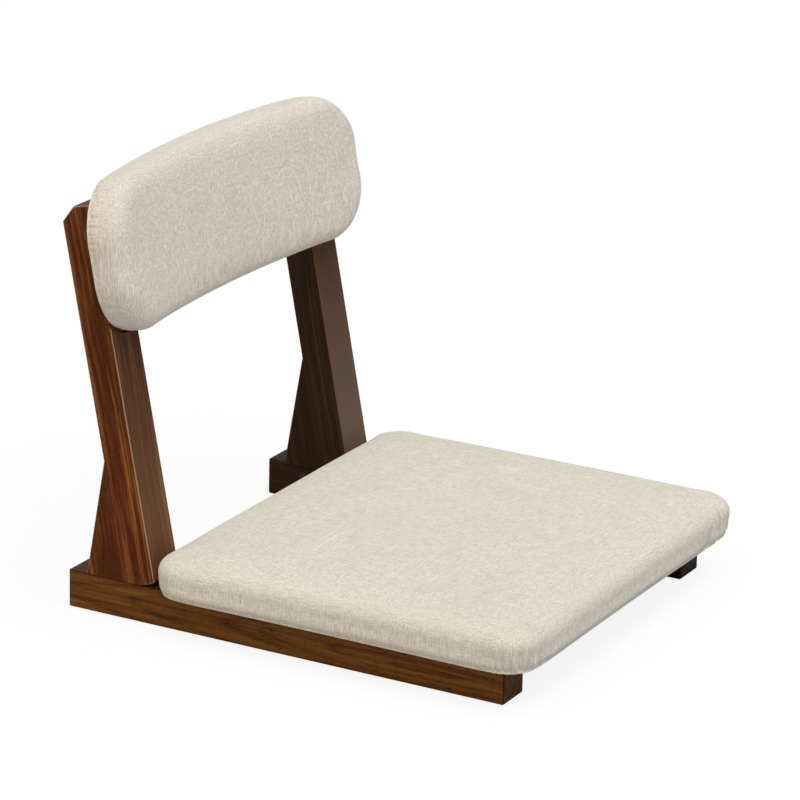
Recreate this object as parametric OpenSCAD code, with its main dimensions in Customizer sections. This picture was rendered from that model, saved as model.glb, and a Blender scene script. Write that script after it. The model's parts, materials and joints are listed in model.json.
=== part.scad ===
// Folding floor chair: two wooden rails on the floor, two leaning posts that fold
// forward over the seat, an upholstered seat and a curved upholstered back pad.
// The sitter faces -Y, so the sitter's right side is at -X. All sizes in millimetres.

/* [Rails] */
// Length of each rail, front to back
rail_l = 446; // [400:1:500]
// Height of each rail
rail_h = 36; // [30:1:42]
// Thickness of each rail, across the chair
rail_t = 37; // [32:1:42]
// Width over the outer faces of both rails
frame_w = 394; // [360:1:430]
// Thickness of the felt pads under the rails
floor_pad_t = 1.5; // [1:0.1:3]
// Length of a felt pad along the rail
floor_pad_l = 26; // [18:1:40]
// Distance from a rail's end to its felt pad
floor_pad_inset = 6; // [3:1:15]
// Bare wood left beside a felt pad
floor_pad_margin = 6; // [3:1:12]

/* [Stretchers] */
// Height of the two stretchers between the rails
stretcher_h = 22; // [16:1:28]
// Width of a stretcher, front to back
stretcher_w = 34; // [24:1:46]
// How far the stretchers' tops lie under the rails' tops
stretcher_drop = 3; // [2:0.5:6]
// Distance from the rails' front ends to the front stretcher
front_stretcher_back = 62; // [45:1:90]
// Distance from the rear stretcher to the feet of the posts
rear_stretcher_gap = 34; // [20:1:60]
// Diameter of the stretcher dowels
dowel_d = 8; // [6:0.5:10]
// Length of the stretcher dowels
dowel_l = 30; // [20:1:40]
// Distance between the two dowels of one joint
dowel_pitch = 16; // [12:1:22]

/* [Posts] */
// Lean of the posts back from upright, in degrees
lean = 11.3; // [8:0.1:14]
// Thickness of a post, across the chair
post_t = 43; // [38:1:48]
// How far a post stands out past the rail's outer face
post_proud = 1.5; // [0.5:0.1:3]
// Depth of a post above its neck, square to its front face
post_d = 32; // [28:1:38]
// Length of a post's front face from the rail to the top
post_l = 354; // [320:1:400]
// Height of the neck over the rail, where the wide foot begins
neck_h = 111; // [90:1:130]
// Length of the foot where it stands on the rail
foot_l = 73; // [60:1:85]
// Rail left behind the foot
foot_back = 20; // [12:1:30]
// Depth of the slanted cut at the top rear corner
top_cut_d = 14.4; // [8:0.1:20]
// Height of the slanted cut at the top rear corner
top_cut_h = 13.2; // [8:0.1:20]

/* [Fold joint] */
// Height of the pivot over the rail's top
pivot_h = 46; // [44:0.5:50]
// Distance of the pivot behind the post's front face
pivot_d = 12; // [10.5:0.1:14]
// Gap under the foot when the back stands up
stop_gap = 0.3; // [0.25:0.05:0.6]
// Clearance of the foot's rounded front corner over the rail as it swings
heel_clear = 0.22; // [0.1:0.01:0.24]
// Thickness of the steel fold plate
plate_t = 4; // [3:0.5:6]
// Width of the fold plate round its pin
plate_eye_w = 16; // [14:0.5:18]
// Width of the fold plate's leg, which stands in the rail behind the pin
plate_leg_w = 12; // [10:0.5:13]
// How far the leg's rear edge lies behind the pin
plate_reach = 41; // [38:0.5:42]
// Length of the fold plate's tang in the rail
plate_tang_l = 40; // [36:1:48]
// Height of the tang in the rail
plate_tang_h = 22; // [18:1:26]
// Clearance round the fold plate in the post's slot
plate_swing = 0.5; // [0.3:0.05:0.8]
// Distance between a plate's two screws along the rail
plate_screw_pitch = 24; // [20:1:28]
// Diameter of the plate screws
screw_d = 4; // [3:0.5:5]
// Diameter of the screws' countersunk heads
screw_head_d = 8; // [7:0.5:10]
// Length of the plate screws
screw_l = 30; // [24:1:32]
// Diameter of the pin that the back turns on
pin_d = 8; // [7:0.5:9]
// Wood left beyond the pin's end, towards the post's outer face
pin_wall = 7; // [5:0.5:10]
// Length of the wooden plug that hides the pin
plug_l = 6; // [4:0.5:9]
// Wall of the nylon bush in the plate
bush_wall = 1.5; // [1:0.1:2]
// Thickness of the washers between plate and post
pivot_washer_t = 0.6; // [0.5:0.1:1.5]
// Diameter of the washers between plate and post
pivot_washer_d = 15; // [13:0.5:16]

/* [Seat] */
// How far the cushion stands out past the rails' outer faces
seat_over_side = 26; // [18:0.5:34]
// How far the cushion reaches past the rails' front ends
seat_over_front = 31.5; // [22:0.5:38]
// Gap between the cushion and the feet of the posts
seat_post_gap = 3; // [2:0.5:8]
// Height of the cushion's edge, from the rail up
seat_h = 38; // [33:0.5:44]
// Extra height of the cushion at its middle
seat_crown = 3; // [1:0.1:5]
// Corner radius of the cushion, seen from above
seat_corner_r = 36; // [28:1:46]
// Radius of the cushion's upper edge
seat_edge_r = 15; // [12:0.5:24]
// How far the cushion's sides are drawn in at their middles
seat_draw = 1.5; // [0.5:0.1:4]
// Thickness of the plywood under the foam
seat_board_t = 12; // [9:0.5:16]

/* [Back pad] */
// How far the back pad reaches past the rails' outer faces, along its curve
pad_over_side = 24; // [16:0.5:30]
// Height of the back pad
pad_h = 144; // [124:1:160]
// Thickness of the back pad at its edge
pad_t = 37; // [30:0.5:42]
// Extra thickness of the back pad at its middle
pad_crown = 3; // [1:0.1:5]
// Corner radius of the back pad
pad_corner_r = 54; // [40:1:62]
// Radius of the pad's front edge
pad_edge_r = 16; // [12:0.5:20]
// How far the pad's edges are drawn in at their middles
pad_draw = 1.5; // [0.5:0.1:4]
// Radius of the pad's curved rear face, seen from above
pad_bend_r = 1150; // [900:10:2000]
// Distance of the pad's middle under the posts' tops
pad_under_top = 50; // [38:1:66]
// How far the middle of the pad's rear face lies behind the posts' front faces
pad_set = 18; // [14:0.5:22]
// Thickness of the curved plywood in the pad
pad_board_t = 10; // [8:0.5:12]

/* [Upholstery] */
// Thickness of the cover cloth
cover_t = 1.2; // [0.8:0.1:1.6]
// Width of the cloth turned under the boards
hem_w = 25; // [20:1:32]
// Radius where the cover turns under a board
turn_r = 9; // [6:0.5:11]
// Thickness of the sheets that close the undersides
dust_t = 0.9; // [0.6:0.1:1.1]
// Gap between a closing sheet and the turned cloth
dust_gap = 0.8; // [0.5:0.1:2]
// Length of a staple's crown
staple_l = 10; // [8:0.5:13]
// Thickness of the staple wire
staple_wire = 0.6; // [0.5:0.1:0.9]
// Length of a staple's legs
staple_leg = 6; // [4:0.5:8]
// Distance between staples
staple_pitch = 46; // [38:1:60]

/* [Fixings] */
// Diameter of the bolts that hold seat and pad
bolt_d = 6; // [5:0.5:8]
// Diameter of the bolts' round heads
bolt_head_d = 10; // [9:0.5:13]
// Height of the bolts' round heads
bolt_head_h = 6; // [4:0.5:7]
// Width across flats of the bolts' hexagon sockets
bolt_socket_w = 4; // [3:0.5:5]
// Diameter of the washers under the heads
washer_d = 16; // [14:0.5:18]
// Thickness of the washers under the heads
washer_t = 1.5; // [1:0.1:2]
// Diameter of the tee nuts' flanges
tnut_flange_d = 18; // [16:0.5:20]
// Thickness of the tee nuts' flanges
tnut_flange_t = 1.4; // [1:0.1:2]
// Diameter of the tee nuts' barrels
tnut_d = 9; // [8:0.5:10]
// Length of the tee nuts' barrels
tnut_l = 6; // [5:0.5:7]
// How deep a tee nut's flange seat lies in the pad's board
tnut_sink = 3.2; // [3:0.1:4]
// Distance of the seat bolts from the rail's inner face
seat_bolt_in = 11; // [10:0.5:14]
// Distance of each seat bolt ahead of the stretcher behind it
seat_bolt_lead = 12; // [10:0.5:18]
// Distance between the two pad bolts of one post
pad_bolt_pitch = 44; // [36:1:50]
// How far the pad bolts' middle lies under the middle of the pad
pad_bolt_drop = 6; // [4:0.5:10]

/* [Hidden] */

// Fits: running, clearance and cutting values
run_fit = 0.05;
turn_gap = 0.1;
wood_fit = 0.02;
soft_gap = 0.3;
bolt_clear = 0.3;
over = 1;

walnut = "#4b2f1c";
linen = "#d3cab9";
steel = "#8d8f92";
black_steel = "#2a2522";
plywood = "#c9a877";
foam_yellow = "#e6dcb4";
felt = "#3b3733";
nylon = "#e8e6df";
beech = "#d8b68a";
dust_black = "#26241f";

$fn = 64;

// Heights
rail_z = floor_pad_t;
rail_top = rail_z + rail_h;

// Places across the chair, on the +X side
rail_out = frame_w / 2;
rail_in = rail_out - rail_t;
post_out = rail_out + post_proud;
post_in = post_out - post_t;
post_mid = (post_in + post_out) / 2;

// Places front to back: the whole chair is centred on Y = 0
corner_reach = (post_l - top_cut_h) * sin(lean) + post_d * cos(lean);
back_reach = max(0, corner_reach - foot_l - foot_back);
chair_l = seat_over_front + rail_l + back_reach;
seat_front = -chair_l / 2;
rail_front = seat_front + seat_over_front;
rail_rear = rail_front + rail_l;
foot_rear = rail_rear - foot_back;
foot_front = foot_rear - foot_l;
seat_rear = foot_front - seat_post_gap;
seat_l = seat_rear - seat_front;
seat_mid = (seat_front + seat_rear) / 2;

// Pivot
pivot_y = foot_front + pivot_h * tan(lean) + pivot_d / cos(lean);
pivot_z = rail_top + pivot_h;
heel_r = pivot_h - heel_clear;
plate_in = post_mid - plate_t / 2;
plate_out = post_mid + plate_t / 2;
plate_rear = pivot_y + plate_reach;
elbow_r = plate_leg_w / 2;
slot_in = plate_in - turn_gap - pivot_washer_t;
slot_out = plate_out + turn_gap + pivot_washer_t;
slot_r = plate_eye_w / 2 + plate_swing;
bush_r = pin_d / 2 + run_fit;
bush_out_r = bush_r + bush_wall;
pin_in = post_in + plug_l;
pin_out = post_out - pin_wall;

// Stretchers
stretcher_z = rail_top - stretcher_drop - stretcher_h;
dowel_z = stretcher_z + stretcher_h / 2;
front_stretcher_y = rail_front + front_stretcher_back;
rear_stretcher_y = foot_front - rear_stretcher_gap - stretcher_w;

// Seat
seat_w = frame_w + 2 * seat_over_side;
seat_board_z = rail_top + cover_t;
seat_board_top = seat_board_z + seat_board_t;
seat_bolt_x = rail_in + seat_bolt_in;
seat_bolt_ys = [front_stretcher_y - seat_bolt_lead, rear_stretcher_y - seat_bolt_lead];
bore_r = bolt_d / 2 + bolt_clear;
sink_r = washer_d / 2 + bolt_clear;
sink_d = bolt_head_h + washer_t + over;
tnut_seat = tnut_flange_t + bolt_clear;

// Back pad
pad_w = frame_w + 2 * pad_over_side;
pad_rise = post_l - pad_under_top;
pad_axis_y = pad_set - pad_bend_r;
pad_bolt_mid = pad_rise - pad_bolt_drop;
pad_bolt_zs = [pad_bolt_mid - pad_bolt_pitch / 2, pad_bolt_mid + pad_bolt_pitch / 2];
pad_board_r = pad_bend_r - cover_t - soft_gap;
board_front_r = pad_board_r - pad_board_t;
pad_tnut_y = pad_axis_y + sqrt(pow(board_front_r, 2) - pow(post_mid, 2)) + tnut_sink;
pad_sink_y = post_d - sink_d;
bend_loss = pad_w / 2 - pad_bend_r * sin(180 * pad_w / 2 / (PI * pad_bend_r));

// Steps of the soft forms
corner_steps = 6;
long_steps = 8;
short_steps = 3;
turn_steps = 2;
edge_steps = 4;
crown_shares = [0.22, 0.5, 0.8];
inner_corner_share = 0.3;

// One point of a rounded rectangle's corner, and its whole outline
function corner_point(hx, hy, r, c, a) =
    [((c == 0 || c == 3) ? 1 : -1) * (hx - r) + r * cos(a), ((c < 2) ? 1 : -1) * (hy - r) + r * sin(a)];
function corner_arc(hx, hy, r, c) =
    [for (i = [0 : corner_steps]) corner_point(hx, hy, r, c, 90 * (c + i / corner_steps))];
function side_points(a, b, steps) = [for (k = [1 : steps - 1]) a + (b - a) * k / steps];
function outline(hx, hy, r) =
    [for (c = [0 : 3])
        let (arc = corner_arc(hx, hy, r, c), next = corner_point(hx, hy, r, (c + 1) % 4, 90 * (c + 1)))
        each concat(arc, side_points(arc[corner_steps], next, (c % 2 == 0) ? long_steps : short_steps))];
function inner_corner(r, inset) = max(r - inset, r * inner_corner_share);
function dip(u, reach) = max(0, 1 - pow(u / reach, 2));
function drawn(p, hx, hy, r, draw) =
    [p.x * (1 - draw / hx * dip(p.y, hy - r)), p.y * (1 - draw / hy * dip(p.x, hx - r))];

// Section of a cushion's skin at a depth c inside its outer face: inset, scale and height.
// It runs from the edge of the turned cloth round the turn, up the side and over the crown.
function hem_section(c) = [[hem_w, 1, c]];
function turn_section(c) =
    [for (i = [0 : turn_steps]) let (a = 90 * i / turn_steps)
        [turn_r - (turn_r - c) * sin(a), 1, turn_r - (turn_r - c) * cos(a)]];
function edge_section(c, h, edge_r) =
    [for (i = [0 : edge_steps]) let (a = 90 * i / edge_steps)
        [edge_r - (edge_r - c) * cos(a), 1, h - edge_r + (edge_r - c) * sin(a)]];
function crown_section(c, h, edge_r, crown) =
    [for (share = crown_shares) [edge_r, 1 - share, h - c + crown * (1 - pow(1 - share, 2))]];
function skin_section(c, h, edge_r, crown) =
    concat(turn_section(c), edge_section(c, h, edge_r), crown_section(c, h, edge_r, crown));

// The ring of points at one place of the section, as [x, y, height]
function ring(hx, hy, corner_r, draw, s) =
    let (r = inner_corner(corner_r, s[0]))
    [for (p = outline(hx - s[0], hy - s[0], r))
        let (q = drawn(p, hx - s[0], hy - s[0], r, draw)) [q.x * s[1], q.y * s[1], s[2]]];

// Flat seat and bent pad: from [x, y, height] to a place on the chair
function on_seat(p) = [p.x, seat_mid + p.y, rail_top + p.z];
function on_pad(p) =
    let (a = 180 * p.x / (PI * pad_bend_r), r = pad_bend_r - p.z)
    [r * sin(a), pad_axis_y + r * cos(a), pad_rise + p.y];
function placed(p, bent) = bent ? on_pad(p) : on_seat(p);

// Closed surface through a chain of rings, from a first to a last middle point. Foam is made the
// other way up its section than the cloth over it, so its faces are split the other way too.
module loft(rings, first, last, bent, upward) {
    n = len(rings[0]);
    m = len(rings);
    points = concat([placed(first, bent)],
                    [for (r = rings) for (p = r) placed(p, bent)],
                    [placed(last, bent)]);
    faces = concat(
        [for (i = [0 : n - 1]) [0, 1 + i, 1 + (i + 1) % n]],
        [for (k = [0 : m - 2]) for (i = [0 : n - 1])
            let (j = (i + 1) % n, a = 1 + k * n, b = a + n)
            each upward ? [[a + i, b + i, a + j], [b + i, b + j, a + j]]
                        : [[a + i, b + i, b + j], [a + i, b + j, a + j]]],
        [for (i = [0 : n - 1]) let (a = 1 + (m - 1) * n)
            [a + i, 1 + m * n, a + (i + 1) % n]]);
    polyhedron(points = points, faces = faces, convexity = 6);
}

// Cloth skin of a cushion, open under the board inside the turned cloth
module skin(hx, hy, h, crown, edge_r, corner_r, draw, bent) {
    inner = concat(hem_section(cover_t), skin_section(cover_t, h, edge_r, crown));
    outer = concat(hem_section(0), skin_section(0, h, edge_r, crown));
    count = len(inner);
    chain = concat([for (i = [count - 1 : -1 : 0]) inner[i]], outer);
    rings = [for (s = chain) ring(hx, hy, corner_r, draw, s)];
    loft(rings, [0, 0, h + crown - cover_t], [0, 0, h + crown], bent, false);
}

// Foam body of a cushion, from the height where the cover turns under up to the crown
module filling(hx, hy, h, crown, edge_r, corner_r, draw, bent) {
    c = cover_t + soft_gap;
    chain = concat(hem_section(c), skin_section(c, h, edge_r, crown));
    rings = [for (s = chain) ring(hx, hy, corner_r, draw, s)];
    loft(rings, [0, 0, c], [0, 0, h + crown - c], bent, true);
}

module rounded_rect(w, h, r) {
    square([w - 2 * r, h], center = true);
    square([w, h - 2 * r], center = true);
    for (x = [-1, 1], y = [-1, 1])
        translate([x * (w / 2 - r), y * (h / 2 - r)]) circle(r = r);
}

// Cylinder along X from x0 to x1
module bar_x(x0, x1, r) {
    translate([x0, 0, 0]) rotate([0, 90, 0]) cylinder(r = r, h = x1 - x0);
}

// Both sides of the chair
module both_sides() {
    children();
    mirror([1, 0, 0]) children();
}

// Outline in Y and Z made solid across the chair from x0 to x1
module across(x0, x1) {
    translate([x0, 0, 0]) rotate([90, 0, 90]) linear_extrude(height = x1 - x0) children();
}

// Frame of the leaning posts: Z up along the front face, Y back from it
module on_posts() {
    translate([0, foot_front, rail_top]) rotate([-lean, 0, 0]) children();
}

module at_pivot() {
    translate([0, pivot_y, pivot_z]) children();
}

// Rails

module dowel_places() {
    for (y = [front_stretcher_y, rear_stretcher_y], k = [-1, 1])
        translate([0, y + stretcher_w / 2 + k * dowel_pitch / 2, dowel_z]) children();
}

module plate_screw_places() {
    tang_mid = plate_rear - plate_tang_l / 2;
    for (k = [-1, 1])
        translate([rail_in, tang_mid + k * plate_screw_pitch / 2, rail_top - plate_tang_h / 2]) children();
}

module seat_bolt_places() {
    for (y = seat_bolt_ys) translate([seat_bolt_x, y, 0]) children();
}

module rail() {
    difference() {
        translate([rail_in, rail_front, rail_z]) cube([rail_t, rail_l, rail_h]);
        dowel_places() bar_x(rail_in - over, rail_in + dowel_l / 2, dowel_d / 2 + wood_fit);
        plate_screw_places() {
            bar_x(-over, screw_l + over, screw_d / 2 + run_fit);
            rotate([0, 90, 0]) cylinder(r1 = screw_head_d / 2, r2 = screw_d / 2, h = (screw_head_d - screw_d) / 2);
        }
        across(plate_in - wood_fit, plate_out + wood_fit) offset(delta = wood_fit) plate_tang();
        seat_bolt_places() {
            translate([0, 0, rail_z - over]) cylinder(r = bore_r, h = rail_h + 2 * over);
            translate([0, 0, rail_z - over]) cylinder(r = sink_r, h = sink_d + over);
        }
    }
}

module left_rail() {
    color(walnut) rail();
}

module right_rail() {
    color(walnut) mirror([1, 0, 0]) rail();
}

module stretcher(y) {
    difference() {
        translate([-rail_in, y, stretcher_z]) cube([2 * rail_in, stretcher_w, stretcher_h]);
        both_sides() dowel_places() bar_x(rail_in - dowel_l / 2, rail_in + over, dowel_d / 2 + wood_fit);
    }
}

module front_stretcher() {
    color(walnut) stretcher(front_stretcher_y);
}

module rear_stretcher() {
    color(walnut) stretcher(rear_stretcher_y);
}

module stretcher_dowels() {
    color(beech) both_sides() dowel_places()
        bar_x(rail_in - dowel_l / 2, rail_in + dowel_l / 2, dowel_d / 2);
}

module floor_pads() {
    pad_across = rail_t - 2 * floor_pad_margin;
    color(felt) both_sides()
        for (y = [rail_front + floor_pad_inset, rail_rear - floor_pad_inset - floor_pad_l])
            translate([rail_in + floor_pad_margin, y, 0]) cube([pad_across, floor_pad_l, floor_pad_t]);
}

// Posts

// A point of the post's outline: s up along the front face, d behind it
function post_point(s, d) = [foot_front + s * sin(lean) + d * cos(lean),
                             rail_top + s * cos(lean) - d * sin(lean)];

module post_outline() {
    neck_s = (neck_h + post_d * sin(lean)) / cos(lean);
    foot_z = rail_top + stop_gap;
    polygon([[foot_front + stop_gap * tan(lean), foot_z],
             post_point(post_l, 0),
             post_point(post_l, post_d - top_cut_d),
             post_point(post_l - top_cut_h, post_d),
             post_point(neck_s, post_d),
             [foot_rear, foot_z]]);
}

// Rounded front corner of the foot, which lets the post swing forward on the rail
module heel_cut() {
    difference() {
        translate([post_in - over, foot_front - over, rail_top])
            cube([post_t + 2 * over, pivot_y - foot_front + over, pivot_h]);
        at_pivot() bar_x(post_in - 2 * over, post_out + 2 * over, heel_r);
    }
}

module plate_tang() {
    translate([plate_rear - plate_tang_l, rail_top - plate_tang_h]) square([plate_tang_l, plate_tang_h]);
}

// Side view of the fold plate: an eye on the pin, an arm to the rear and a leg on its tang
module plate_outline() {
    hull() {
        translate([pivot_y, pivot_z]) circle(r = plate_eye_w / 2);
        translate([plate_rear - elbow_r, pivot_z - elbow_r]) circle(r = elbow_r);
    }
    translate([plate_rear - plate_leg_w, rail_top - over])
        square([plate_leg_w, pivot_h - elbow_r + over]);
    plate_tang();
}

// Slot in the foot that the fold plate swings in, open under the foot
module plate_slot() {
    rear = plate_reach + plate_swing;
    front_z = plate_swing - (plate_reach - plate_leg_w);
    front_y = -plate_leg_w - plate_swing;
    across(slot_in, slot_out) translate([pivot_y, pivot_z]) {
        circle(r = slot_r);
        polygon([[0, slot_r], [rear, plate_swing], [rear, -pivot_h], [-foot_l, -pivot_h], [-foot_l, front_z],
                 [front_y, front_z], [-slot_r, 0]]);
    }
}

module pad_bolt_places() {
    for (z = pad_bolt_zs) translate([post_mid, 0, z]) rotate([-90, 0, 0]) children();
}

module post() {
    difference() {
        across(post_in, post_out) post_outline();
        heel_cut();
        on_posts() {
            // Hollow that seats the curved pad
            translate([0, pad_axis_y, pad_rise - pad_h / 2 - soft_gap])
                cylinder(r = pad_bend_r + soft_gap, h = pad_h + 2 * soft_gap, $fn = 180);
            pad_bolt_places() {
                cylinder(r = bore_r, h = post_d + over);
                translate([0, 0, pad_sink_y]) cylinder(r = sink_r, h = sink_d + over);
            }
        }
        plate_slot();
        at_pivot() bar_x(post_in - over, pin_out, pin_d / 2 + wood_fit);
    }
}

module left_post() {
    color(walnut) post();
}

module right_post() {
    color(walnut) mirror([1, 0, 0]) post();
}

// Fold joint

module fold_plate() {
    difference() {
        across(plate_in, plate_out) plate_outline();
        at_pivot() bar_x(plate_in - over, plate_out + over, bush_out_r + wood_fit);
        plate_screw_places() bar_x(0, screw_l, screw_d / 2 + run_fit);
    }
}

module left_fold_plate() {
    color(black_steel) fold_plate();
}

module right_fold_plate() {
    color(black_steel) mirror([1, 0, 0]) fold_plate();
}

module plate_screw() {
    head_h = (screw_head_d - screw_d) / 2;
    tip = screw_d / 2;
    rotate([0, 90, 0]) rotate_extrude()
        polygon([[0, run_fit], [screw_head_d / 2 - 2 * run_fit, run_fit], [screw_d / 2 - run_fit, head_h],
                 [screw_d / 2 - run_fit, screw_l - tip], [0, screw_l]]);
}

module plate_screws() {
    color(black_steel) both_sides() plate_screw_places() plate_screw();
}

module pivot_bushes() {
    color(nylon) both_sides() at_pivot() difference() {
        bar_x(plate_in, plate_out, bush_out_r);
        bar_x(plate_in - over, plate_out + over, bush_r);
    }
}

module pivot_pins() {
    color(steel) both_sides() at_pivot() bar_x(pin_in, pin_out, pin_d / 2);
}

module pivot_plugs() {
    color(walnut) both_sides() at_pivot() bar_x(post_in, pin_in, pin_d / 2);
}

module pivot_washers() {
    color(nylon) both_sides() at_pivot() for (x = [slot_in, slot_out - pivot_washer_t]) difference() {
        bar_x(x, x + pivot_washer_t, pivot_washer_d / 2);
        bar_x(x - over, x + pivot_washer_t + over, pin_d / 2 + run_fit);
    }
}

module hex_socket(w, depth) {
    cylinder(r = w / sqrt(3), h = depth, $fn = 6);
}

// Bolt with a round socket head and its shank along +Z, its head under Z = 0
module socket_bolt(l) {
    difference() {
        union() {
            translate([0, 0, -bolt_head_h]) cylinder(r = bolt_head_d / 2, h = bolt_head_h);
            cylinder(r = bolt_d / 2, h = l);
        }
        translate([0, 0, -bolt_head_h - over]) hex_socket(bolt_socket_w, over + bolt_head_h / 2);
    }
}

module flat_washer() {
    difference() {
        cylinder(r = washer_d / 2, h = washer_t);
        translate([0, 0, -over]) cylinder(r = bore_r, h = washer_t + 2 * over);
    }
}

// Tee nut with its flange over Z = 0 and its barrel under it
module tee_nut(l) {
    difference() {
        union() {
            cylinder(r = tnut_flange_d / 2, h = tnut_flange_t);
            translate([0, 0, -l]) cylinder(r = tnut_d / 2, h = l);
        }
        translate([0, 0, -l - over]) cylinder(r = bolt_d / 2 + run_fit, h = l + tnut_flange_t + 2 * over);
    }
}

// Seat

module seat_board() {
    w = seat_w - 2 * (turn_r + seat_draw);
    l = seat_l - 2 * (turn_r + seat_draw);
    tnut_z = seat_board_top - tnut_seat;
    color(plywood) difference() {
        translate([0, seat_mid, seat_board_z])
            linear_extrude(height = seat_board_t) rounded_rect(w, l, seat_corner_r - turn_r);
        both_sides() seat_bolt_places() {
            translate([0, 0, seat_board_z - over]) cylinder(r = tnut_d / 2 + wood_fit, h = seat_board_t);
            translate([0, 0, tnut_z]) cylinder(r = tnut_flange_d / 2 + bolt_clear, h = tnut_seat + over);
        }
    }
}

module seat_foam() {
    w = seat_w - 2 * (turn_r + seat_draw - soft_gap);
    l = seat_l - 2 * (turn_r + seat_draw - soft_gap);
    color(foam_yellow) difference() {
        filling(seat_w / 2, seat_l / 2, seat_h, seat_crown, seat_edge_r, seat_corner_r, seat_draw, false);
        translate([0, seat_mid, seat_board_z - over])
            linear_extrude(height = seat_board_t + soft_gap + over)
                rounded_rect(w, l, seat_corner_r - turn_r + soft_gap);
    }
}

module seat_cover() {
    color(linen)
        skin(seat_w / 2, seat_l / 2, seat_h, seat_crown, seat_edge_r, seat_corner_r, seat_draw, false);
}

module seat_dust_sheet() {
    margin = hem_w + seat_draw + dust_gap;
    color(dust_black) difference() {
        translate([0, seat_mid, seat_board_z - dust_t]) linear_extrude(height = dust_t)
            rounded_rect(seat_w - 2 * margin, seat_l - 2 * margin, inner_corner(seat_corner_r, margin));
        both_sides() seat_bolt_places() translate([0, 0, seat_board_z - dust_t - over])
            cylinder(r = tnut_d / 2 + bolt_clear, h = dust_t + 2 * over);
    }
}

// Staple with its crown along X under Z = 0 and its legs up
module staple() {
    translate([-staple_l / 2, -staple_wire / 2, -staple_wire]) cube([staple_l, staple_wire, staple_wire]);
    for (x = [-staple_l / 2, staple_l / 2 - staple_wire])
        translate([x, -staple_wire / 2, -staple_wire]) cube([staple_wire, staple_wire, staple_leg]);
}

function spread(reach) = let (n = floor(reach / staple_pitch)) [for (k = [-n : n]) k * staple_pitch];

module seat_staples() {
    inset = hem_w / 2;
    color(steel) translate([0, seat_mid, rail_top]) {
        for (x = spread(rail_in - staple_l), y = [-1, 1])
            translate([x, y * (seat_l / 2 - inset), 0]) staple();
        both_sides() for (y = spread(seat_l / 2 - seat_corner_r - staple_l))
            translate([seat_w / 2 - inset, y, 0]) rotate([0, 0, 90]) staple();
    }
}

module seat_bolts() {
    l = seat_board_top - rail_z - sink_d + washer_t - tnut_flange_t;
    color(steel) both_sides() seat_bolt_places()
        translate([0, 0, rail_z + sink_d - washer_t]) socket_bolt(l);
}

module seat_washers() {
    color(steel) both_sides() seat_bolt_places() translate([0, 0, rail_z + sink_d - washer_t]) flat_washer();
}

module seat_tee_nuts() {
    color(steel) both_sides() seat_bolt_places() translate([0, 0, seat_board_top - tnut_seat])
        tee_nut(seat_board_t - tnut_seat);
}

// Back pad

// Curved sheet from radius r0 to r1 about the pad's axis, cut to a rounded outline
module bent_sheet(r0, r1, w, h, corner_r) {
    intersection() {
        translate([0, pad_axis_y, pad_rise - h / 2 - over]) difference() {
            cylinder(r = r1, h = h + 2 * over, $fn = 180);
            translate([0, 0, -over]) cylinder(r = r0, h = h + 4 * over, $fn = 180);
        }
        translate([0, pad_t, pad_rise]) rotate([90, 0, 0])
            linear_extrude(height = 3 * pad_t) rounded_rect(w, h, corner_r);
    }
}

module back_board() {
    edge = turn_r + pad_draw;
    color(plywood) on_posts() difference() {
        bent_sheet(board_front_r, pad_board_r, pad_w - 2 * (edge + bend_loss), pad_h - 2 * edge,
                   pad_corner_r - turn_r);
        both_sides() pad_bolt_places() {
            translate([0, 0, pad_tnut_y - over]) cylinder(r = tnut_d / 2 + wood_fit, h = 2 * pad_board_t);
            translate([0, 0, pad_tnut_y - pad_board_t])
                cylinder(r = tnut_flange_d / 2 + bolt_clear, h = pad_board_t);
        }
    }
}

module back_foam() {
    edge = turn_r + pad_draw - soft_gap;
    color(foam_yellow) on_posts() difference() {
        filling(pad_w / 2, pad_h / 2, pad_t, pad_crown, pad_edge_r, pad_corner_r, pad_draw, true);
        bent_sheet(board_front_r - soft_gap, pad_bend_r + over, pad_w - 2 * (edge + bend_loss),
                   pad_h - 2 * edge, pad_corner_r - turn_r + soft_gap);
    }
}

module back_cover() {
    color(linen) on_posts()
        skin(pad_w / 2, pad_h / 2, pad_t, pad_crown, pad_edge_r, pad_corner_r, pad_draw, true);
}

module back_panel() {
    margin = hem_w + pad_draw + dust_gap;
    sheet_r = pad_board_r + turn_gap;
    color(dust_black) on_posts() difference() {
        bent_sheet(sheet_r, sheet_r + dust_t, pad_w - 2 * (margin + bend_loss),
                   pad_h - 2 * margin, inner_corner(pad_corner_r, margin));
        both_sides() pad_bolt_places() cylinder(r = tnut_d / 2 + bolt_clear, h = post_d);
    }
}

module back_staples() {
    inset = hem_w / 2;
    turn = 180 / (PI * pad_bend_r);
    color(steel) on_posts() translate([0, pad_axis_y, pad_rise]) {
        for (x = spread(post_in - staple_l), z = [-1, 1]) rotate([0, 0, -x * turn])
            translate([0, pad_bend_r, z * (pad_h / 2 - inset)]) rotate([90, 0, 0]) staple();
        for (k = [-1, 1]) rotate([0, 0, -k * (pad_w / 2 - inset) * turn])
            translate([0, pad_bend_r, 0]) rotate([90, 90, 0]) staple();
    }
}

module back_bolts() {
    l = pad_sink_y + washer_t - pad_tnut_y + tnut_flange_t / 2;
    color(steel) on_posts() both_sides() pad_bolt_places()
        translate([0, 0, pad_sink_y + washer_t]) mirror([0, 0, 1]) socket_bolt(l);
}

module back_washers() {
    color(steel) on_posts() both_sides() pad_bolt_places() translate([0, 0, pad_sink_y]) flat_washer();
}

module back_tee_nuts() {
    color(steel) on_posts() both_sides() pad_bolt_places()
        translate([0, 0, pad_tnut_y]) mirror([0, 0, 1]) tee_nut(tnut_l);
}

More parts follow.
